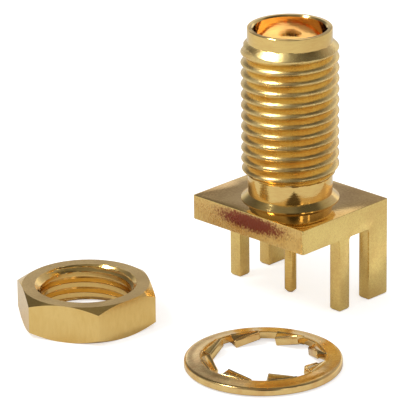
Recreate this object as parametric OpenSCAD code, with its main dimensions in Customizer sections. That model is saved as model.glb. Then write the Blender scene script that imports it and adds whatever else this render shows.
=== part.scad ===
// Coaxial edge-mount jack, threaded size 1/4-36, with its lock washer and hex nut taken off.
// Millimetres. The origin is on the barrel's axis, at the flange face that meets the
// circuit board's edge: +Z runs up the barrel and the four legs and the tail point down.

/* [Flange] */
// Width of the flange, along the board's edge
flange_w = 9.52; // [8.6:0.02:13]
// Depth of the flange, through the board's thickness
flange_d = 7.92; // [7.2:0.02:12]
// Thickness of the flange
flange_t = 1.6; // [0.8:0.1:3]
// Radius on the flange's four upright corners
flange_corner_r = 0.16; // [0.05:0.01:0.3]

/* [Board legs] */
// Length of the legs below the flange
leg_len = 4.85; // [3:0.05:8]
// Thickness of each leg, along the board's edge
leg_t = 0.86; // [0.6:0.02:1.2]
// Width of each front leg, through the board's thickness
leg_front_w = 0.9; // [0.6:0.05:1.5]
// Radius on the legs' tips
leg_tip_r = 0.16; // [0.05:0.01:0.25]
// Radius where the legs grow out of the flange
leg_root_r = 0.2; // [0.05:0.05:0.4]
// Thickness of the circuit board that slides between the legs
board_t = 1.6; // [0.8:0.1:2]
// Play of the board between the legs
board_play = 0.18; // [0.05:0.01:0.3]
// How far the front legs stand back from the board, so that it lies on the tail
leg_relief = 0.04; // [0:0.01:0.1]

/* [Barrel] */
// Outside diameter of the thread
thread_d = 6.22; // [5.8:0.02:6.36]
// Length of the full thread
thread_len = 7.94; // [4:0.02:12]
// Depth from the thread's crests to the plain stretches
relief_depth = 0.43; // [0.3:0.01:0.5]
// Length of the plain neck under the thread
neck_len = 1.23; // [0.5:0.01:3]
// Height of the straight side left on the flange, as wide as the thread
collar_h = 0.04; // [0.02:0.01:0.3]
// Height of the cone from there to the neck
collar_cone_h = 0.36; // [0.2:0.01:0.6]
// Length of the plain lead-in above the thread
lead_in_len = 0.87; // [0.4:0.01:1.5]
// Radius on the rim's outer edge
rim_edge_r = 0.05; // [0.02:0.01:0.1]

/* [Coaxial interface] */
// Bore of the mouth, which the plug's sleeve enters
mouth_d = 4.6; // [4.4:0.02:4.7]
// Chamfer inside the rim
mouth_chamfer = 0.1; // [0.02:0.01:0.15]
// Depth of the insulator's face below the rim
face_depth = 1.95; // [1.2:0.05:2.5]
// Diameter of the insulator
insulator_d = 4.1; // [3.6:0.05:4.2]
// Diametral play between the insulator, the shell and the contact
press_play = 0.02; // [0:0.01:0.05]

/* [Centre contact] */
// Outside diameter of the socket
socket_d = 1.27; // [1.2:0.01:1.4]
// Diameter of the hole that takes the plug's pin
socket_hole_d = 0.94; // [0.9:0.01:0.98]
// Depth of that hole
socket_hole_len = 3; // [2.5:0.1:4]
// Depth of the socket's end below the insulator's face
socket_recess = 0.15; // [0:0.05:0.25]
// Width of the slots that part the socket's fingers
slot_w = 0.15; // [0.1:0.01:0.18]
// Length of those slots
slot_len = 2.2; // [1.5:0.1:2.4]
// Chamfer at the mouth of the hole
socket_lead = 0.06; // [0.02:0.01:0.1]
// Room round the fingers for them to spread
finger_room = 0.1; // [0.05:0.01:0.2]
// Diameter of the barb that grips the insulator
barb_d = 1.6; // [1.45:0.05:2]
// Height of the barb
barb_h = 0.5; // [0.3:0.1:1]
// Diameter of the tail that is soldered to the board
tail_d = 0.76; // [0.5:0.02:1]
// Taper at the tail's tip
tail_tip = 0.19; // [0.05:0.01:0.25]

/* [Lock washer] */
// Outside diameter of the washer
washer_d = 9.7; // [9.2:0.1:11]
// Thickness of the strip it is stamped from
washer_t = 0.5; // [0.3:0.05:0.6]
// Width of the plain ring outside the teeth
washer_ring_w = 1.08; // [0.8:0.02:1.3]
// Play between the teeth and the thread
washer_play = 0.12; // [0.05:0.01:0.3]
// Number of teeth
tooth_count = 8; // [6:1:10]
// Share of the pitch that a tooth takes up
tooth_share = 0.63; // [0.5:0.01:0.75]
// Twist of each tooth at its tip, in degrees
tooth_twist = 15; // [5:1:25]
// Rise of the ring from its rim to the teeth
washer_dish = 0.1; // [0:0.01:0.2]
// Radius on the ring's edges
washer_edge_r = 0.08; // [0.03:0.01:0.12]

/* [Hex nut] */
// Width across the flats
nut_af = 8; // [7.6:0.1:9.6]
// Thickness of the nut
nut_t = 2.42; // [1.6:0.02:4]
// Angle of the chamfer on the corners, in degrees
nut_chamfer_angle = 30; // [15:1:40]
// How far the nut's crests reach into the barrel's thread, on the radius
thread_engagement = 0.25; // [0.15:0.01:0.35]
// Width of the countersink outside the thread, on the radius
countersink_extra = 0.1; // [0.02:0.01:0.2]

/* [Loose parts] */
// Gap between the flange's front and the washer
washer_gap = 1.16; // [0.5:0.02:6]
// Washer's centre past the flange's side
washer_beside = 2.26; // [-2:0.02:4]
// Turn of the washer, in degrees
washer_turn = 16.3; // [0:0.1:45]
// Gap between the flange's front and the nut's corner circle
nut_gap = 3.49; // [0.5:0.01:8]
// Gap between the washer and the nut's corner circle, along the flange
nut_beside = 3.81; // [0.5:0.01:8]
// Turn of the nut, in degrees
nut_turn = 25.4; // [0:0.1:60]

/* [Hidden] */

$fn = 96;
eps = 0.01;
over = 1;

// Barrel heights, from the flange up
relief_d = thread_d - 2 * relief_depth;
collar_top_z = flange_t + collar_h;
neck_z = collar_top_z + collar_cone_h;
thread_run_z = neck_z + neck_len;
thread_z = thread_run_z + relief_depth;
thread_end_z = thread_z + thread_len;
lead_in_z = thread_end_z + relief_depth;
rim_z = lead_in_z + lead_in_len;

// Coaxial interface
face_z = rim_z - face_depth;
socket_z = face_z - socket_recess;
slot_end_z = socket_z - slot_len;
hole_end_z = socket_z - socket_hole_len;
barb_z = hole_end_z / 2;

// Board slot: the board's face lies against the tail
slot_front_y = tail_d / 2 - leg_relief;
slot_back_y = tail_d / 2 + board_t + board_play;
floor_z = -leg_len;

// Washer and nut
washer_bore_r = thread_d / 2 + washer_play;
tooth_root_r = washer_d / 2 - washer_ring_w;
tooth_half_angle = 180 / tooth_count * tooth_share;
tooth_half_w = washer_bore_r * sin(tooth_half_angle);
tooth_drop = tooth_half_w * sin(tooth_twist) + washer_t / 2 * cos(tooth_twist);
washer_x = flange_w / 2 + washer_beside;
washer_y = -flange_d / 2 - washer_gap - washer_d / 2;

nut_corner_r = nut_af / 2 / cos(30);
nut_bore_d = thread_d - 2 * thread_engagement;
countersink_d = thread_d + 2 * countersink_extra;
countersink_h = (countersink_d - nut_bore_d) / 2;
nut_x = washer_x - washer_d / 2 - nut_beside - nut_corner_r;
nut_y = -flange_d / 2 - nut_gap - nut_corner_r;

// Rectangle about the origin with rounded corners
module rounded_rect(w, d, r) {
    square([w, d - 2 * r], center = true);
    square([w - 2 * r, d], center = true);
    for (x = [-1, 1], y = [-1, 1])
        translate([x * (w / 2 - r), y * (d / 2 - r)]) circle(r);
}

// Leg seen from one side: from its tip up into the flange, rounded at the tip
module leg_outline(from, to) {
    translate([from, floor_z + leg_tip_r]) square([to - from, leg_len - leg_tip_r + eps]);
    translate([from + leg_tip_r, floor_z]) square([to - from - 2 * leg_tip_r, leg_tip_r + eps]);
    for (x = [from + leg_tip_r, to - leg_tip_r])
        translate([x, floor_z + leg_tip_r]) circle(leg_tip_r);
}

// Fillet in the corner between a leg's side at x and the flange; dir is +1 or -1
module root_fillet(x, dir) {
    difference() {
        translate([dir > 0 ? x - eps : x - leg_root_r, -leg_root_r])
            square([leg_root_r + eps, leg_root_r + eps]);
        translate([x + dir * leg_root_r, -leg_root_r]) circle(leg_root_r);
    }
}

// The legs, looking along the board's edge
module legs_side() {
    leg_outline(slot_front_y - leg_front_w, slot_front_y);
    leg_outline(slot_back_y, flange_d / 2);
    root_fillet(slot_front_y - leg_front_w, -1);
    root_fillet(slot_front_y, 1);
    root_fillet(slot_back_y, -1);
}

// The legs, looking at the board's face
module legs_front() {
    for (m = [0, 1]) mirror([m, 0]) {
        leg_outline(flange_w / 2 - leg_t, flange_w / 2);
        root_fillet(flange_w / 2 - leg_t, -1);
    }
}

// Two front legs and two back legs, rounded both ways
module legs() {
    intersection() {
        translate([-flange_w, 0, 0])
            rotate([90, 0, 90]) linear_extrude(2 * flange_w) legs_side();
        translate([0, flange_d, 0])
            rotate([90, 0, 0]) linear_extrude(2 * flange_d) legs_front();
    }
}

// Half section of the barrel outside, from the flange's middle to the rim
module barrel_outline() {
    polygon([
        [0, flange_t / 2],
        [thread_d / 2, flange_t / 2],
        [thread_d / 2, collar_top_z],
        [relief_d / 2, neck_z],
        [relief_d / 2, thread_run_z],
        [thread_d / 2, thread_z],
        [thread_d / 2, thread_end_z],
        [relief_d / 2, lead_in_z],
        [relief_d / 2, rim_z - rim_edge_r],
        [relief_d / 2 - rim_edge_r, rim_z],
        [0, rim_z]
    ]);
    translate([relief_d / 2 - rim_edge_r, rim_z - rim_edge_r]) circle(rim_edge_r);
}

// Half section of what is bored out of the barrel: insulator seat, mouth and its chamfer
module barrel_bore() {
    polygon([
        [0, -over],
        [insulator_d / 2, -over],
        [insulator_d / 2, face_z],
        [mouth_d / 2, face_z],
        [mouth_d / 2, rim_z - mouth_chamfer],
        [mouth_d / 2 + mouth_chamfer, rim_z],
        [mouth_d / 2 + mouth_chamfer, rim_z + over],
        [0, rim_z + over]
    ]);
}

// Machined body: flange, barrel and legs are one piece of gold-plated brass
module shell() {
    color("goldenrod") difference() {
        union() {
            linear_extrude(flange_t) rounded_rect(flange_w, flange_d, flange_corner_r);
            rotate_extrude() barrel_outline();
            legs();
        }
        rotate_extrude() barrel_bore();
    }
}

// Half section of the contact's outside, grown by g: tail, socket and barb
module contact_outline(g = 0) {
    polygon([
        [0, floor_z],
        [tail_d / 2 - tail_tip + g, floor_z],
        [tail_d / 2 + g, floor_z + tail_tip],
        [tail_d / 2 + g, -g],
        [socket_d / 2 + g, -g],
        [socket_d / 2 + g, barb_z - barb_h / 2 - g],
        [barb_d / 2 + g, barb_z - g],
        [barb_d / 2 + g, barb_z + barb_h / 2 + g],
        [socket_d / 2 + g, barb_z + barb_h / 2 + g],
        [socket_d / 2 + g, socket_z],
        [0, socket_z]
    ]);
}

// PTFE bead: flush with the flange below and with the mating plane above
module insulator() {
    color("white") rotate_extrude() difference() {
        square([(insulator_d - press_play) / 2, face_z]);
        contact_outline(press_play / 2);
        translate([0, slot_end_z])
            square([socket_d / 2 + finger_room, face_z - slot_end_z + over]);
    }
}

// Turned contact: slotted socket above, solder tail below
module centre_contact() {
    color("gold") difference() {
        rotate_extrude() contact_outline();
        translate([0, 0, hole_end_z]) cylinder(d = socket_hole_d, h = socket_hole_len + over);
        translate([0, 0, socket_z - socket_lead])
            cylinder(d1 = socket_hole_d, d2 = socket_hole_d + 2 * socket_lead, h = socket_lead);
        for (turn = [0, 90]) rotate(turn)
            translate([-socket_d, -slot_w / 2, slot_end_z])
                cube([2 * socket_d, slot_w, slot_len + over]);
    }
}

// Half section of the washer's ring: a shallow cone with rounded edges
module washer_section() {
    slope = washer_dish / washer_ring_w;
    for (z = [-1, 1], end = [0, 1]) {
        r = end == 0 ? tooth_root_r + washer_edge_r : washer_d / 2 - washer_edge_r;
        translate([r, (washer_d / 2 - r) * slope + z * (washer_t / 2 - washer_edge_r)])
            circle(washer_edge_r);
    }
    inner = tooth_root_r + washer_edge_r;
    outer = washer_d / 2 - washer_edge_r;
    inner_z = (washer_d / 2 - inner) * slope;
    outer_z = (washer_d / 2 - outer) * slope;
    half = washer_t / 2;
    core = half - washer_edge_r;
    polygon([[inner, inner_z - half], [outer, outer_z - half],
             [outer, outer_z + half], [inner, inner_z + half]]);
    polygon([[tooth_root_r, inner_z - core], [washer_d / 2, outer_z - core],
             [washer_d / 2, outer_z + core], [tooth_root_r, inner_z + core]]);
}

// Corners of a tooth's cross-section at radius r, turned by a about the tooth's own axis
function tooth_ring(r, a) = [
    for (c = [[-1, -1], [1, -1], [1, 1], [-1, 1]])
        let (y = c[0] * r * sin(tooth_half_angle), z = c[1] * washer_t / 2)
            [r * cos(tooth_half_angle), y * cos(a) + z * sin(a), z * cos(a) - y * sin(a)]
];

// One tooth: its root is flat in the ring and its tip is twisted
module tooth() {
    steps = 5;
    root = tooth_root_r + 2 * washer_edge_r;
    rings = [
        for (i = [0 : steps])
            let (t = i / steps, ease = t * t * (3 - 2 * t))
                tooth_ring(root + (washer_bore_r - root) * t, tooth_twist * ease)
    ];
    points = [for (ring = rings) each ring];
    sides = [
        for (i = [0 : steps - 1], k = [0 : 3])
            let (a = 4 * i + k, b = 4 * i + (k + 1) % 4) each [[a, b, b + 4], [a, b + 4, a + 4]]
    ];
    last = 4 * steps;
    polyhedron(points, concat([[3, 2, 1, 0]], sides, [[last, last + 1, last + 2, last + 3]]));
}

// Stamped spring washer, standing on the low corners of its twisted teeth
module lock_washer() {
    ring_z = tooth_drop - washer_dish;
    color("darkgoldenrod") translate([washer_x, washer_y, floor_z]) rotate(washer_turn) {
        translate([0, 0, ring_z]) rotate_extrude() washer_section();
        for (i = [0 : tooth_count - 1])
            rotate(360 / tooth_count * i) translate([0, 0, tooth_drop]) tooth();
    }
}

// Nut: a hexagon inside a turned blank, whose cones chamfer the corners
module hex_nut() {
    flat_r = nut_af / 2;
    corner_cut = (nut_corner_r - flat_r) * tan(nut_chamfer_angle);
    color("goldenrod") translate([nut_x, nut_y, floor_z]) rotate(nut_turn) difference() {
        intersection() {
            cylinder(r = nut_corner_r, h = nut_t, $fn = 6);
            rotate_extrude() polygon([
                [0, 0],
                [flat_r, 0],
                [nut_corner_r + eps, corner_cut],
                [nut_corner_r + eps, nut_t - corner_cut],
                [flat_r, nut_t],
                [0, nut_t]
            ]);
        }
        rotate_extrude() polygon([
            [0, -over],
            [countersink_d / 2, -over],
            [countersink_d / 2, 0],
            [nut_bore_d / 2, countersink_h],
            [nut_bore_d / 2, nut_t - countersink_h],
            [countersink_d / 2, nut_t],
            [countersink_d / 2, nut_t + over],
            [0, nut_t + over]
        ]);
    }
}

shell();
insulator();
centre_contact();
lock_washer();
hex_nut();
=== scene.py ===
import math

import bmesh
import bpy
from mathutils import Matrix, Vector


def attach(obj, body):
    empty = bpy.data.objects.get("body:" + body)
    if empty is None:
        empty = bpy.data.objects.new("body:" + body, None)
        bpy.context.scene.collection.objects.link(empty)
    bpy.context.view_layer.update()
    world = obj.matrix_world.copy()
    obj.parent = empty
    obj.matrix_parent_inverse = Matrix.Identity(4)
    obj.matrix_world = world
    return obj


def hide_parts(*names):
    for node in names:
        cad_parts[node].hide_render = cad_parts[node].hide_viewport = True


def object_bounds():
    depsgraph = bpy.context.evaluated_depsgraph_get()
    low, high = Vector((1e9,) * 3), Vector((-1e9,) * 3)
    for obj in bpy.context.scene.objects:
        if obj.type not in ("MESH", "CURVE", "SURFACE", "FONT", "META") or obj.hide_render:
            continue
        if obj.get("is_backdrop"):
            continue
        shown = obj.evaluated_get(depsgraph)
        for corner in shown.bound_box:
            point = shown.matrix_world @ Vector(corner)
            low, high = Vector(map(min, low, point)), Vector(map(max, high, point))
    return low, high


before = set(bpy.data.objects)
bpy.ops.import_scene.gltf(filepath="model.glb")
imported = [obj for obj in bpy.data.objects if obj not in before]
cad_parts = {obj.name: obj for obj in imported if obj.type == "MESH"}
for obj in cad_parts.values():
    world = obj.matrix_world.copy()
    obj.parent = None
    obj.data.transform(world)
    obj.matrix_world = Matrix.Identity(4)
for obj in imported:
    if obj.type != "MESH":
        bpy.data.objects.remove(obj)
cad_low, cad_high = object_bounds()
scene = bpy.context.scene
scene.view_settings.view_transform = "Standard"

# Camera: a short telephoto, a quarter of a metre away, 21 degrees above the table and looking
# at the corner of the flange between its front and right-hand sides.
camera = bpy.data.objects.new("camera", bpy.data.cameras.new("camera"))
camera.data.lens = 338.491
camera.data.sensor_width = 36
camera.data.clip_start = 0.01
camera.data.clip_end = 10
camera_at = Vector((0.159237, -0.170610, 0.090504))
camera_right = Vector((0.718638, 0.695313, -0.009941))
camera_up = Vector((-0.243027, 0.264523, 0.933255))
camera_back = camera_right.cross(camera_up)
camera_turn = Matrix((camera_right, camera_up, camera_back)).transposed()
camera.matrix_world = Matrix.Translation(camera_at) @ camera_turn.to_4x4()
scene.collection.objects.link(camera)
scene.camera = camera
camera_side = Vector((camera_back.x, camera_back.y, 0)).normalized()
left_side = -Vector((camera_right.x, camera_right.y, 0)).normalized()

# Table: white paper, lit evenly. It shows white to the camera and in the metal, and still
# takes the shadows of the parts that stand on it.
TABLE_HALF = 2.0
floor_z = cad_low.z
sheet = bmesh.new()
bmesh.ops.create_grid(sheet, x_segments=1, y_segments=1, size=TABLE_HALF)
bmesh.ops.translate(sheet, verts=sheet.verts, vec=(0, 0, floor_z))
table_mesh = bpy.data.meshes.new("table")
sheet.to_mesh(table_mesh)
sheet.free()
table = bpy.data.objects.new("table", table_mesh)
scene.collection.objects.link(table)
table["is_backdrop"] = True


def linear(code):
    """Linear red, green, blue and alpha from an sRGB hex colour."""
    channels = [int(code[i:i + 2], 16) / 255 for i in (1, 3, 5)]
    return [c / 12.92 if c <= 0.04045 else ((c + 0.055) / 1.055) ** 2.4 for c in channels] + [1]


def add_node(tree, kind, settings=None, inputs=None):
    """Adds one node: settings go on the node, and inputs are plain values or sockets to link."""
    made = tree.nodes.new(kind)
    for name, value in (settings or {}).items():
        setattr(made, name, value)
    for name, value in (inputs or {}).items():
        if isinstance(value, bpy.types.NodeSocket):
            tree.links.new(value, made.inputs[name])
        else:
            made.inputs[name].default_value = value
    return made


def new_material(name):
    """An empty node material and its tree."""
    material = bpy.data.materials.new(name)
    material.use_nodes = True
    material.node_tree.nodes.clear()
    return material, material.node_tree


# Paper scatters light evenly, so it has no gloss and only soft shadows show on it.
PAPER_WHITE = 0.6
METAL_LIFT = 0.02
paper, tree = new_material("matt white paper")
path = add_node(tree, "ShaderNodeLightPath")
in_metal = add_node(tree, "ShaderNodeMath", {"operation": "MAXIMUM"}, {
    0: path.outputs["Is Glossy Ray"],
    1: path.outputs["Is Transmission Ray"],
})
lift = add_node(tree, "ShaderNodeMath", {"operation": "MULTIPLY"}, {
    0: in_metal.outputs[0], 1: METAL_LIFT,
})
lift = add_node(tree, "ShaderNodeMath", {"operation": "MULTIPLY_ADD"}, {
    0: path.outputs["Is Camera Ray"], 1: PAPER_WHITE, 2: lift.outputs[0],
})
matt = add_node(tree, "ShaderNodeBsdfDiffuse", inputs={"Color": linear("#e6e6e6")})
glow = add_node(tree, "ShaderNodeEmission", inputs={
    "Color": linear("#ffffff"), "Strength": lift.outputs[0],
})
both = add_node(tree, "ShaderNodeAddShader", inputs={0: matt.outputs[0], 1: glow.outputs[0]})
add_node(tree, "ShaderNodeOutputMaterial", inputs={"Surface": both.outputs[0]})
table_mesh.materials.append(paper)

# Studio: a white surround for the camera, and for the metal a room that is bright low down and
# dimmer above, as over a lit table. All its lamps hang at one distance.
EVEN_LIGHT = 0.66
LAMP_AWAY = 0.35


def direction(left, up):
    """Unit vector so many degrees left of the camera and so many degrees up."""
    flat = camera_side * math.cos(math.radians(left)) + left_side * math.sin(math.radians(left))
    return flat * math.cos(math.radians(up)) + Vector((0, 0, math.sin(math.radians(up))))


def hang_lamp(lamp, towards, aim):
    """Hangs a lamp in that direction from the point that it faces."""
    lamp_object = bpy.data.objects.new(lamp.name, lamp)
    lamp_object.location = aim + towards * LAMP_AWAY
    lamp_object.rotation_mode = "QUATERNION"
    lamp_object.rotation_quaternion = towards.to_track_quat("Z", "Y")
    scene.collection.objects.link(lamp_object)


world = bpy.data.worlds.new("studio")
scene.world = world
world.use_nodes = True
tree = world.node_tree
tree.nodes.clear()
path = add_node(tree, "ShaderNodeLightPath")
place = add_node(tree, "ShaderNodeTexCoord")
parts = add_node(tree, "ShaderNodeSeparateXYZ", inputs={0: place.outputs["Generated"]})
height = add_node(tree, "ShaderNodeMapRange", inputs={
    "Value": parts.outputs["Z"], "From Min": -1.0, "From Max": 1.0,
})
room = add_node(tree, "ShaderNodeValToRGB", inputs={0: height.outputs[0]})
stops = room.color_ramp.elements
stops.remove(stops[1])
stops[0].position = 0.5
stops[0].color = linear("#d6d6d8")
for position, colour in (
    (0.625, "#dcdcda"), (0.665, "#a6a5ae"), (0.75, "#97969c"), (0.84, "#86847f"), (0.98, "#7a7874"),
):
    stops.new(position).color = linear(colour)

# The room is not even: (degrees left of the camera, up, outer and inner radius, brightness) for
# a figure behind the camera, a dark ceiling corner, a dark back corner, a bright side wall and
# two small bright panes behind.
for left, up, outer, inner, brightness in (
    (-7, 16, 24, 13, 0.15),
    (-73, 58, 30, 10, 0.45),
    (142, 36, 34, 12, 0.45),
    (-135, 30, 38, 15, 1.5),
    (169, 21, 7, 3, 2.6),
    (-176, 37, 9, 4, 3.2),
):
    near = add_node(tree, "ShaderNodeVectorMath", {"operation": "DOT_PRODUCT"}, {
        0: place.outputs["Generated"], 1: direction(left, up),
    })
    patch = add_node(tree, "ShaderNodeMapRange", {"interpolation_type": "SMOOTHSTEP"}, {
        "Value": near.outputs["Value"], "From Min": math.cos(math.radians(outer)),
        "From Max": math.cos(math.radians(inner)), "To Min": 1.0, "To Max": brightness,
    })
    room = add_node(tree, "ShaderNodeVectorMath", {"operation": "SCALE"}, {
        0: room.outputs[0], "Scale": patch.outputs[0],
    })
white = add_node(tree, "ShaderNodeBackground", inputs={"Color": linear("#ffffff"), "Strength": 1.0})
dim = add_node(tree, "ShaderNodeBackground", inputs={"Color": room.outputs[0], "Strength": 1.0})
even = add_node(tree, "ShaderNodeBackground", inputs={
    "Color": linear("#ffffff"), "Strength": EVEN_LIGHT,
})
lit = add_node(tree, "ShaderNodeMixShader", inputs={
    0: path.outputs["Is Glossy Ray"], 1: even.outputs[0], 2: dim.outputs[0],
})
both = add_node(tree, "ShaderNodeMixShader", inputs={
    0: path.outputs["Is Camera Ray"], 1: lit.outputs[0], 2: white.outputs[0],
})
add_node(tree, "ShaderNodeOutputWorld", inputs={"Surface": both.outputs[0]})

# Softboxes: (name, degrees left of the camera, degrees up, width, height, watts).
for name, left, up, width, tall, watts in (
    ("key_softbox", 74, 55, 0.08, 0.08, 0.3),
    ("window_strip", -29, 24, 0.04, 0.12, 0.022),
    ("far_strip", -50, 24, 0.02, 0.12, 0.010),
):
    lamp = bpy.data.lights.new(name, "AREA")
    lamp.shape = "RECTANGLE"
    lamp.size = width
    lamp.size_y = tall
    lamp.energy = watts
    hang_lamp(lamp, direction(left, up), Vector((0, 0, 0)))

# A snooted lamp beside the key lights the barrel's mouth, down to the insulator.
snoot = bpy.data.lights.new("snooted_lamp", "SPOT")
snoot.energy = 5.0
snoot.spot_size = math.radians(1.3)
snoot.spot_blend = 0.5
snoot.shadow_soft_size = 0.003
hang_lamp(snoot, direction(74, 58), Vector((0, 0, cad_high.z)))

# Machined body: flange, barrel and four legs in one piece of brass, milled and turned, then
# gold plated all over. The 1/4-36 thread is cut on the lathe and runs out in 45 degree cones.
MM = 0.001
FLANGE_W, FLANGE_D, FLANGE_T = 9.52 * MM, 7.92 * MM, 1.6 * MM
CORNER_R = 0.16 * MM
LEG_LEN, LEG_T = 4.85 * MM, 0.86 * MM
FRONT_LEG_Y = (-0.56 * MM, 0.34 * MM)
BACK_LEG_Y = (2.16 * MM, FLANGE_D / 2)
TIP_R, ROOT_R, EDGE_BREAK = 0.22 * MM, 0.2 * MM, 0.04 * MM
PITCH = 25.4 / 36 * MM
CREST_R, NECK_R = 3.11 * MM, 2.68 * MM
CREST_ROUND = 0.17 * MM
CONE_BASE_Z, NECK_Z = 1.64 * MM, 2.0 * MM
RUN_UP_Z, THREAD_Z, THREAD_END_Z, LEAD_IN_Z = 3.23 * MM, 3.66 * MM, 11.60 * MM, 12.03 * MM
RIM_Z, RIM_EDGE_R = 12.90 * MM, 0.05 * MM
MOUTH_R, MOUTH_CHAMFER, SEAT_R, FACE_Z = 2.30 * MM, 0.1 * MM, 2.05 * MM, 10.95 * MM
TURN_STEPS, PROFILE_POINTS = 128, 20
SPARE, OVER, TOUCH = 0.3 * MM, 1 * MM, 0.001 * MM


def thread_profile(root_r, crest_r, root_flat, crest_round, points):
    """Radius and height of one pitch of a 60 degree thread, from root to root."""
    flank = (crest_r - root_r) * math.tan(math.radians(30))
    profile = []
    for i in range(points + 1):
        along = PITCH * i / points
        up_flank = max(0.0, min(along, PITCH - along) - root_flat / 2)
        depth = min(up_flank / flank, 1) * (crest_r - root_r)
        soft = max(0.0, crest_round - abs(up_flank - flank))
        depth -= soft * soft / (4 * crest_round) * math.sqrt(3)
        profile.append((root_r + depth, along))
    return profile


def thread_surface(profile, turns, start_z):
    """Sweeps one pitch of a thread round a right-hand helix, and stacks copies of that turn."""
    helix = bmesh.new()
    chain = [helix.verts.new((r, 0, start_z + z)) for r, z in profile]
    edges = [helix.edges.new(pair) for pair in zip(chain, chain[1:])]
    bmesh.ops.spin(
        helix, geom=chain + edges, cent=(0, 0, 0), axis=(0, 0, 1), angle=math.tau,
        dvec=(0, 0, PITCH / TURN_STEPS), steps=TURN_STEPS, use_merge=False,
        use_duplicate=False, use_normal_flip=False,
    )
    turn = helix.verts[:] + helix.edges[:] + helix.faces[:]
    for number in range(1, turns):
        copy = bmesh.ops.duplicate(helix, geom=turn)["geom"]
        moved = [g for g in copy if isinstance(g, bmesh.types.BMVert)]
        bmesh.ops.translate(helix, verts=moved, vec=(0, 0, number * PITCH))
    bmesh.ops.remove_doubles(helix, verts=helix.verts, dist=1e-7)
    return helix


def cut_level(mesh, z, keep_below):
    """Cuts a mesh off at height z, and returns the edges left open there."""
    geometry = mesh.verts[:] + mesh.edges[:] + mesh.faces[:]
    bmesh.ops.bisect_plane(
        mesh, geom=geometry, dist=1e-8, plane_co=(0, 0, z), plane_no=(0, 0, 1 if keep_below else -1),
        clear_outer=True,
    )
    rim = [v for v in mesh.verts if v.is_boundary and abs(v.co.z - z) < 1e-5]
    for vert in rim:
        vert.co.z = z
    bmesh.ops.remove_doubles(mesh, verts=rim, dist=4e-6)
    return [e for e in mesh.edges if e.is_boundary and all(abs(v.co.z - z) < 1e-8 for v in e.verts)]


def grow_rings(mesh, edges, rings):
    """Extrudes an open ring through the given (radius, height) pairs."""
    for radius, z in rings:
        grown = bmesh.ops.extrude_edge_only(mesh, edges=edges)["geom"]
        for vert in (g for g in grown if isinstance(g, bmesh.types.BMVert)):
            scale = radius / math.hypot(vert.co.x, vert.co.y)
            vert.co = (vert.co.x * scale, vert.co.y * scale, z)
        edges = [g for g in grown if isinstance(g, bmesh.types.BMEdge)]
    return edges


def finished_object(name, mesh, sharp_degrees=28):
    """Turns a bmesh into a smooth-shaded object, with hard edges where it folds sharply."""
    bmesh.ops.recalc_face_normals(mesh, faces=mesh.faces)
    for face in mesh.faces:
        face.smooth = True
    for edge in mesh.edges:
        edge.smooth = len(edge.link_faces) == 2 and edge.calc_face_angle() < math.radians(sharp_degrees)
    data = bpy.data.meshes.new(name)
    mesh.to_mesh(data)
    mesh.free()
    made = bpy.data.objects.new(name, data)
    scene.collection.objects.link(made)
    return made


def combine(base, tool, operation):
    """Unites or cuts two closed bmeshes and returns the result as a new bmesh."""
    first, second = (finished_object("work", part) for part in (base, tool))
    change = first.modifiers.new("combine", "BOOLEAN")
    change.operation = operation
    change.solver = "EXACT"
    change.object = second
    result = bmesh.new()
    result.from_object(first, bpy.context.evaluated_depsgraph_get())
    for used in (first, second):
        bpy.data.objects.remove(used)
    return result


def barrel_limit(z):
    """Outline of the turned blank that the thread is cut in."""
    below = NECK_R + max(0.0, z - RUN_UP_Z)
    above = NECK_R + max(0.0, LEAD_IN_Z - z)
    return min(CREST_R, below, above)


# The thread is swept past both cones, brought inside the blank, and cut level. Its last turn
# dies out in the upper cone, on the left, between the two counts of turns given here.
turns = math.ceil((LEAD_IN_Z - RUN_UP_Z) / PITCH) + 3
ROOT_START_Z = RUN_UP_Z - 1.6 * PITCH - 0.05 * MM
FADE_FROM, FADE_TO = 13.58, 13.80
barrel = thread_surface(
    thread_profile(NECK_R, CREST_R, 0, CREST_ROUND, PROFILE_POINTS), turns, ROOT_START_Z)
for vert in barrel.verts:
    radius = math.hypot(vert.co.x, vert.co.y)
    turn = math.atan2(vert.co.y, vert.co.x) / math.tau % 1
    wound = round((vert.co.z - ROOT_START_Z) / PITCH - turn) + turn
    fill = min(1.0, max(0.0, (wound - FADE_FROM) / (FADE_TO - FADE_FROM)))
    radius_now = min(barrel_limit(vert.co.z), radius + (CREST_R - radius) * fill)
    vert.co.x *= radius_now / radius
    vert.co.y *= radius_now / radius
lower = cut_level(barrel, RUN_UP_Z - SPARE, False)
upper = cut_level(barrel, LEAD_IN_Z + SPARE, True)
lower = grow_rings(barrel, lower, [
    (NECK_R, NECK_Z), (CREST_R, CONE_BASE_Z), (CREST_R, FLANGE_T / 2),
])
bmesh.ops.edgeloop_fill(barrel, edges=lower)
rim_round = [math.radians(a) for a in (30, 60, 90)]
upper = grow_rings(barrel, upper, [(NECK_R, RIM_Z - RIM_EDGE_R)] + [
    (NECK_R - RIM_EDGE_R * (1 - math.cos(a)), RIM_Z - RIM_EDGE_R * (1 - math.sin(a)))
    for a in rim_round
])
bmesh.ops.edgeloop_fill(barrel, edges=upper)

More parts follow.
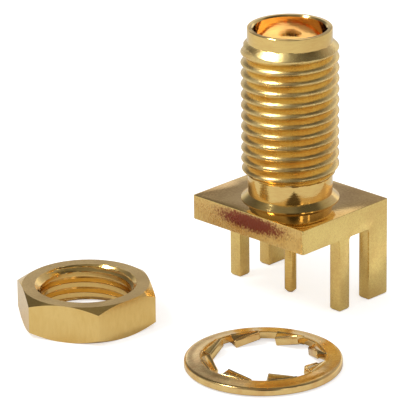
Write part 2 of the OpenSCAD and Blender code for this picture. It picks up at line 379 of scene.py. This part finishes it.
# Flange and legs: a milled block whose underside is drawn down into the four legs.
block = bmesh.new()
bmesh.ops.create_cube(block, size=1)
bmesh.ops.scale(block, verts=block.verts, vec=(FLANGE_W, FLANGE_D, FLANGE_T))
bmesh.ops.translate(block, verts=block.verts, vec=(0, 0, FLANGE_T / 2))
leg_in_x = FLANGE_W / 2 - LEG_T
for place, normal in (
    ((leg_in_x, 0, 0), (1, 0, 0)), ((-leg_in_x, 0, 0), (1, 0, 0)),
    ((0, FRONT_LEG_Y[0], 0), (0, 1, 0)), ((0, FRONT_LEG_Y[1], 0), (0, 1, 0)),
    ((0, BACK_LEG_Y[0], 0), (0, 1, 0)),
):
    geometry = block.verts[:] + block.edges[:] + block.faces[:]
    bmesh.ops.bisect_plane(block, geom=geometry, plane_co=place, plane_no=normal)
feet = []
for face in block.faces:
    middle = face.calc_center_median()
    beside = abs(middle.x) > leg_in_x
    along = any(low < middle.y < high for low, high in (FRONT_LEG_Y, BACK_LEG_Y))
    if face.normal.z < -0.5 and beside and along:
        feet.append(face)
drawn = bmesh.ops.extrude_face_region(block, geom=feet)["geom"]
bmesh.ops.delete(block, geom=feet, context="FACES_ONLY")
bmesh.ops.translate(
    block, verts=[g for g in drawn if isinstance(g, bmesh.types.BMVert)], vec=(0, 0, -LEG_LEN))
bmesh.ops.dissolve_limit(
    block, angle_limit=math.radians(1), verts=block.verts, edges=block.edges, delimit=set())


def round_edges(mesh, offset, segments, wanted):
    """Rounds the edges that the test picks."""
    picked = [e for e in mesh.edges if len(e.link_faces) == 2 and wanted(e)]
    bmesh.ops.bevel(
        mesh, geom=picked, offset=offset, offset_type="OFFSET", segments=segments, profile=0.5,
        affect="EDGES", clamp_overlap=True, material=-1,
    )


def is_upright(edge):
    """Whether an edge stands along the block's height."""
    return abs(edge.verts[0].co.z - edge.verts[1].co.z) > 1 * MM


def middle_of(edge):
    """Middle of an edge."""
    return (edge.verts[0].co + edge.verts[1].co) / 2


def is_corner(edge):
    """Whether an edge is one of the flange's four upright corners."""
    middle = middle_of(edge)
    at_side = abs(middle.x) > FLANGE_W / 2 - TOUCH
    at_front = abs(middle.y) > FLANGE_D / 2 - TOUCH
    return is_upright(edge) and at_side and at_front


def is_leg_root(edge):
    """Whether a leg grows out of the flange at this edge."""
    return abs(middle_of(edge).z) < TOUCH and not edge.is_convex and edge.calc_face_angle() > 0.5


def is_leg_tip(edge):
    """Whether an edge lies round the end of a leg."""
    return abs(middle_of(edge).z + LEG_LEN) < TOUCH


def is_sharp(edge):
    """Whether an outside edge would still be sharp to the touch."""
    return edge.is_convex and edge.calc_face_angle() > 0.9


round_edges(block, CORNER_R, 4, is_corner)
round_edges(block, ROOT_R, 4, is_leg_root)
round_edges(block, TIP_R, 4, is_leg_tip)
round_edges(block, EDGE_BREAK, 2, is_sharp)

# The bore: mouth, its chamfer and the seat of the insulator, turned right through.
bore = bmesh.new()
start = bmesh.ops.create_circle(bore, segments=TURN_STEPS, radius=SEAT_R, cap_ends=True)["verts"]
bmesh.ops.translate(bore, verts=start, vec=(0, 0, -OVER))
ends = grow_rings(bore, bore.edges[:], [
    (SEAT_R, FACE_Z), (MOUTH_R, FACE_Z), (MOUTH_R, RIM_Z - MOUTH_CHAMFER),
    (MOUTH_R + MOUTH_CHAMFER, RIM_Z), (MOUTH_R + MOUTH_CHAMFER, RIM_Z + OVER),
])
bmesh.ops.edgeloop_fill(bore, edges=ends)
body_mesh = combine(combine(block, barrel, "UNION"), bore, "DIFFERENCE")
bmesh.ops.remove_doubles(body_mesh, verts=body_mesh.verts, dist=1e-7)
body = finished_object("machined_body", body_mesh)


def gold_finish(name, colour, shade, roughness, grain, stretch, relief):
    """Gold plate over the tool marks of the metal under it: the spacing of the marks and their
    depth are in mm. The polish and the tone also drift in patches of a millimetre or two."""
    material, tree = new_material(name)
    where = add_node(tree, "ShaderNodeTexCoord")
    laid = add_node(tree, "ShaderNodeMapping", inputs={
        "Vector": where.outputs["Object"], "Scale": stretch,
    })
    marks = add_node(tree, "ShaderNodeTexNoise", inputs={
        "Vector": laid.outputs[0], "Scale": 1000 / grain, "Detail": 3.0,
    })
    worn = add_node(tree, "ShaderNodeTexNoise", inputs={
        "Vector": where.outputs["Object"], "Scale": 600.0, "Detail": 2.0,
    })
    rough = add_node(tree, "ShaderNodeMapRange", inputs={
        "Value": worn.outputs["Fac"], "From Min": 0.3, "From Max": 0.7,
        "To Min": roughness[0], "To Max": roughness[1],
    })
    height = add_node(tree, "ShaderNodeBump", inputs={
        "Height": marks.outputs["Fac"], "Distance": relief * MM, "Strength": 1.0,
    })
    mixed = add_node(tree, "ShaderNodeMath", {"operation": "ADD"}, {
        0: marks.outputs["Fac"], 1: worn.outputs["Fac"],
    })
    toned = add_node(tree, "ShaderNodeMapRange", inputs={
        "Value": mixed.outputs[0], "From Min": 0.75, "From Max": 1.2,
    })
    plate = add_node(tree, "ShaderNodeMix", {"data_type": "RGBA"}, {
        0: toned.outputs[0], 6: linear(shade), 7: linear(colour),
    })
    gold = add_node(tree, "ShaderNodeBsdfPrincipled", inputs={
        "Base Color": plate.outputs[2], "Metallic": 1.0, "Roughness": rough.outputs[0],
        "Normal": height.outputs[0],
    })
    add_node(tree, "ShaderNodeOutputMaterial", inputs={"Surface": gold.outputs[0]})
    return material, tree, gold, plate


# Turned: rings 0.12 mm apart from the tool, under plate that mirrors the room a little softly.
turned = gold_finish(
    "gold plate on turned brass", "#f9d787", "#efc67a", (0.07, 0.13), 0.12, (0.3, 0.3, 1.6), 0.002)[0]
# Cut thread: the die tears the flanks a little, so light spreads along each crest.
threaded = gold_finish(
    "gold plate on a cut thread", "#f8dc94", "#e8c078", (0.22, 0.32), 0.12, (1, 1, 1), 0.006)[0]
# Turned bore: smoother, and a deeper gold, because light bounces from wall to wall in it.
bored = gold_finish(
    "gold plate in a turned bore", "#fbd084", "#f2b870", (0.07, 0.12), 0.2, (0.3, 0.3, 1.6), 0.002)[0]
# Milled: a short even grain, drawn coarser than it is so that it shows, with satin highlights.
milled = gold_finish(
    "gold plate on milled brass", "#ffe18c", "#f0ca7c", (0.14, 0.26), 0.12, (1, 1, 1), 0.012)[0]
# Ground: nearly a mirror, so the flange's top shows the neck that stands on it. The grain is
# again drawn coarser than it is.
ground = gold_finish(
    "gold plate on ground brass", "#eec87c", "#d4aa62", (0.04, 0.08), 0.16, (1, 1, 1), 0.003)[0]
# Sawn: a coarse grain of 0.11 mm that sparkles, drawn out along the blade's stroke.
rough_cut, tree, gold, plate = gold_finish(
    "gold plate on a rough saw cut", "#fcd888", "#e0b068", (0.22, 0.38), 0.11, (1, 1, 0.6), 0.05)
# Painted reflection: the nut in front, mirrored in the sawn side, is painted into its colour as a
# dark reddish patch 6.7 by 1.3 mm, whose edge breaks up into the grain.
where = add_node(tree, "ShaderNodeTexCoord")
placed = add_node(tree, "ShaderNodeMapping", inputs={
    "Vector": where.outputs["Object"], "Scale": (300, 0.001, 1500),
    "Location": (-0.09, 0, -1500 * (FLANGE_T - 0.58 * MM)),
})
painted_reflection_spot = add_node(tree, "ShaderNodeVectorMath", {"operation": "LENGTH"}, {0: placed.outputs[0]})
speckle = add_node(tree, "ShaderNodeTexNoise", inputs={
    "Vector": where.outputs["Object"], "Scale": 8000.0, "Detail": 3.0,
})
edge = add_node(tree, "ShaderNodeMath", {"operation": "MULTIPLY_ADD"}, {
    0: speckle.outputs["Fac"], 1: 1.2, 2: painted_reflection_spot.outputs["Value"],
})
# Painted reflection of the nut: this mask is strongest inside the patch and fades out at its edge.
painted_reflection = add_node(tree, "ShaderNodeMapRange", {"interpolation_type": "SMOOTHSTEP"}, {
    "Value": edge.outputs[0], "From Min": 1.1, "From Max": 1.75, "To Min": 0.95, "To Max": 0.0,
})
# Painted reflection: inside the patch the sawn side's gold is mixed towards a dark red.
painted_reflection_tint = add_node(tree, "ShaderNodeMix", {"data_type": "RGBA"}, {
    0: painted_reflection.outputs[0], 6: plate.outputs[2], 7: linear("#8c3c30"),
})
tree.links.new(painted_reflection_tint.outputs[2], gold.inputs["Base Color"])

finishes = [turned, bored, milled, ground, rough_cut, threaded]
for finish in finishes:
    body.data.materials.append(finish)
for face in body.data.polygons:
    middle = face.center
    corners = [body.data.vertices[i].co for i in face.vertices]
    radius = max(math.hypot(corner.x, corner.y) for corner in corners)
    top = max(corner.z for corner in corners)
    low = min(corner.z for corner in corners)
    worked = turned
    if radius < MOUTH_R + TOUCH:
        worked = bored
    elif top < FLANGE_T - EDGE_BREAK / 2 and middle.y < -FLANGE_D / 2 + EDGE_BREAK / 4:
        worked = rough_cut
    elif low > FLANGE_T - TOUCH and top < FLANGE_T + TOUCH:
        worked = ground
    elif low < FLANGE_T - TOUCH:
        worked = milled
    elif RUN_UP_Z < middle.z < LEAD_IN_Z:
        worked = threaded
    face.material_index = finishes.index(worked)
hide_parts("shell")
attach(body, "root")

# Insulator: a turned bead of PTFE pressed into the bore from below, flush with the flange's face.
# Turned PTFE is white and slightly waxy, with a dull sheen and no tool marks that the eye sees.
ptfe, tree = new_material("turned white ptfe")
where = add_node(tree, "ShaderNodeTexCoord")
haze = add_node(tree, "ShaderNodeTexNoise", inputs={
    "Vector": where.outputs["Object"], "Scale": 1500.0, "Detail": 2.0,
})
rough = add_node(tree, "ShaderNodeMapRange", inputs={
    "Value": haze.outputs["Fac"], "To Min": 0.35, "To Max": 0.5,
})
plastic = add_node(tree, "ShaderNodeBsdfPrincipled", inputs={
    "Base Color": linear("#f1eee6"), "Roughness": rough.outputs[0], "IOR": 1.35,
})
add_node(tree, "ShaderNodeOutputMaterial", inputs={"Surface": plastic.outputs[0]})
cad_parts["insulator"].data.materials.clear()
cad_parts["insulator"].data.materials.append(ptfe)

# Centre contact: turned from one bar, with its socket slotted in four above and the solder tail
# below, and gold plated: fine rings, and a softer shine than the barrel's. The insulator holds
# it by its barb, and only its tail shows, under the flange.
pin_gold = gold_finish(
    "gold plate on a turned contact", "#f9d37c", "#e8bc6a", (0.10, 0.18), 0.12, (0.3, 0.3, 1.6), 0.004)[0]
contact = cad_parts["centre_contact"]
contact.data.materials.clear()
contact.data.materials.append(pin_gold)

# Lock washer: stamped from 0.5 mm spring bronze and gold plated. The punch has rounded the
# ring's edges, and each of the eight inner teeth is twisted to bite the flange and the panel.
WASHER_AT = Vector((7.02 * MM, -9.97 * MM, floor_z))
WASHER_R, TOOTH_ROOT_R, TOOTH_TIP_R, STRIP_T = 4.85 * MM, 3.77 * MM, 3.23 * MM, 0.5 * MM
TEETH, HALF_TOOTH, TOOTH_TWIST = 8, math.radians(14.175), math.radians(15)
TOOTH_BURIED, TOOTH_EDGE = 0.16 * MM, 0.05 * MM
WASHER_TURN, TOOTH_MIDDLE_Z = math.radians(16.3), 0.4462 * MM
ring = bmesh.new()
section = [ring.verts.new((r * MM, 0, z * MM)) for r, z in (
    (4.80, 0.10), (4.85, 0.16), (4.85, 0.42), (4.835, 0.50), (4.79, 0.555), (4.72, 0.585),
    (4.62, 0.598), (4.45, 0.607), (4.30, 0.618), (4.20, 0.630), (4.10, 0.645), (3.95, 0.668),
    (3.86, 0.680), (3.80, 0.672), (3.77, 0.640), (3.77, 0.27), (3.80, 0.215), (3.86, 0.20),
    (4.70, 0.105),
)]
loop = [ring.edges.new((a, b)) for a, b in zip(section, section[1:] + section[:1])]
bmesh.ops.spin(
    ring, geom=section + loop, cent=(0, 0, 0), axis=(0, 0, 1), angle=math.tau, steps=TURN_STEPS,
    use_merge=True, use_duplicate=False)
teeth = bmesh.new()
bmesh.ops.create_cube(teeth, size=1)
lengthways = [e for e in teeth.edges if abs(e.verts[0].co.x - e.verts[1].co.x) > 0.5]
bmesh.ops.subdivide_edges(teeth, edges=lengthways, cuts=7, use_grid_fill=True)
for vert in teeth.verts:
    out = vert.co.x + 0.5
    root = TOOTH_ROOT_R + TOOTH_BURIED
    radius = root + (TOOTH_TIP_R - root) * (1 - out)
    twist = TOOTH_TWIST * (1 - out) ** 2 * (1 + 2 * out)
    across = vert.co.y * 2 * radius * math.sin(HALF_TOOTH)
    up = vert.co.z * STRIP_T
    vert.co = (
        radius * math.cos(HALF_TOOTH),
        across * math.cos(twist) + up * math.sin(twist),
        up * math.cos(twist) - across * math.sin(twist) + TOOTH_MIDDLE_Z,
    )
round_edges(teeth, TOOTH_EDGE, 2, lambda edge: edge.calc_face_angle() > 0.9)
one = teeth.verts[:] + teeth.edges[:] + teeth.faces[:]
for number in range(1, TEETH):
    copy = bmesh.ops.duplicate(teeth, geom=one)["geom"]
    bmesh.ops.rotate(
        teeth, verts=[g for g in copy if isinstance(g, bmesh.types.BMVert)], cent=(0, 0, 0),
        matrix=Matrix.Rotation(number * math.tau / TEETH, 3, "Z"))
# The washer stands on the low corners of its teeth, which end level with the table.
for vert in teeth.verts:
    vert.co.z = max(vert.co.z, 0.0)
washer_mesh = combine(ring, teeth, "UNION")
bmesh.ops.rotate(
    washer_mesh, verts=washer_mesh.verts, cent=(0, 0, 0), matrix=Matrix.Rotation(WASHER_TURN, 3, "Z"))
bmesh.ops.translate(washer_mesh, verts=washer_mesh.verts, vec=WASHER_AT)
washer = finished_object("toothed_washer", washer_mesh, 35)
# Stamped: tumbled before it is plated, so its marks are rubbed out and its shine is soft.
stamped = gold_finish(
    "gold plate on stamped bronze", "#fad890", "#ecbe78", (0.14, 0.22), 0.5, (1, 1, 1), 0.010)[0]
washer.data.materials.append(stamped)
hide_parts("lock_washer")
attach(washer, "root")

# Hex nut: sawn from drawn hexagon bar, its corners turned off at 30 degrees on both faces, then
# tapped 1/4-36 and countersunk, and gold plated.
NUT_AT = Vector((-6.2588 * MM, -12.0688 * MM, floor_z))
NUT_FLAT_R, NUT_T, NUT_TURN = 4.0 * MM, 2.42 * MM, math.radians(25.4)
NUT_CORNER_R = NUT_FLAT_R / math.cos(math.radians(30))
NUT_BORE_R, SINK_R = 2.86 * MM, 3.21 * MM
TAP_R, TAP_FLAT, TAP_ROUND, TAP_FROM_Z, TAP_TURNS = 3.13 * MM, 0.34 * MM, 0.03 * MM, -1.9 * MM, 8
PAST_CORNER, PAST_DROP, PAST_FACE = 0.2 * MM, 0.1155 * MM, 0.4 * MM
corner_cut = (NUT_CORNER_R - NUT_FLAT_R) * math.tan(math.radians(30))
hexagon = bmesh.new()
bmesh.ops.create_cone(
    hexagon, cap_ends=True, segments=6, radius1=NUT_CORNER_R, radius2=NUT_CORNER_R, depth=NUT_T)
bmesh.ops.translate(hexagon, verts=hexagon.verts, vec=(0, 0, NUT_T / 2))
first = max(hexagon.verts, key=lambda v: (round(v.co.x, 7), v.co.y))
bmesh.ops.rotate(
    hexagon, verts=hexagon.verts, cent=(0, 0, 0),
    matrix=Matrix.Rotation(NUT_TURN - math.atan2(first.co.y, first.co.x), 3, "Z"))
blank = bmesh.new()
bmesh.ops.create_circle(blank, segments=TURN_STEPS, radius=NUT_FLAT_R, cap_ends=True)
rim = grow_rings(blank, blank.edges[:], [
    (NUT_CORNER_R, corner_cut), (NUT_CORNER_R + PAST_CORNER, corner_cut + PAST_DROP),
    (NUT_CORNER_R + PAST_CORNER, NUT_T - corner_cut - PAST_DROP), (NUT_CORNER_R, NUT_T - corner_cut),
    (NUT_FLAT_R, NUT_T),
])
bmesh.ops.edgeloop_fill(blank, edges=rim)
nut_blank = combine(hexagon, blank, "INTERSECT")
tap = thread_surface(
    thread_profile(NUT_BORE_R, TAP_R, TAP_FLAT, TAP_ROUND, PROFILE_POINTS), TAP_TURNS, TAP_FROM_Z)
for vert in tap.verts:
    radius = math.hypot(vert.co.x, vert.co.y)
    depth = min(vert.co.z, NUT_T - vert.co.z)
    radius_now = max(radius, min(SINK_R, SINK_R - depth))
    vert.co.x *= radius_now / radius
    vert.co.y *= radius_now / radius
bmesh.ops.edgeloop_fill(tap, edges=cut_level(tap, -PAST_FACE, False))
bmesh.ops.edgeloop_fill(tap, edges=cut_level(tap, NUT_T + PAST_FACE, True))
nut_mesh = combine(nut_blank, tap, "DIFFERENCE")
bmesh.ops.translate(nut_mesh, verts=nut_mesh.verts, vec=NUT_AT)
nut = finished_object("threaded_nut", nut_mesh, 20)
# Drawn bar: marks that run along the bar, and a satin shine on the flats.
nut_gold = gold_finish(
    "gold plate on drawn brass bar", "#fad586", "#f3cb7a", (0.14, 0.22), 0.2, (1, 1, 0.35), 0.006)[0]
nut.data.materials.append(nut_gold)
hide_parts("hex_nut")
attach(nut, "root")

low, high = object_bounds()
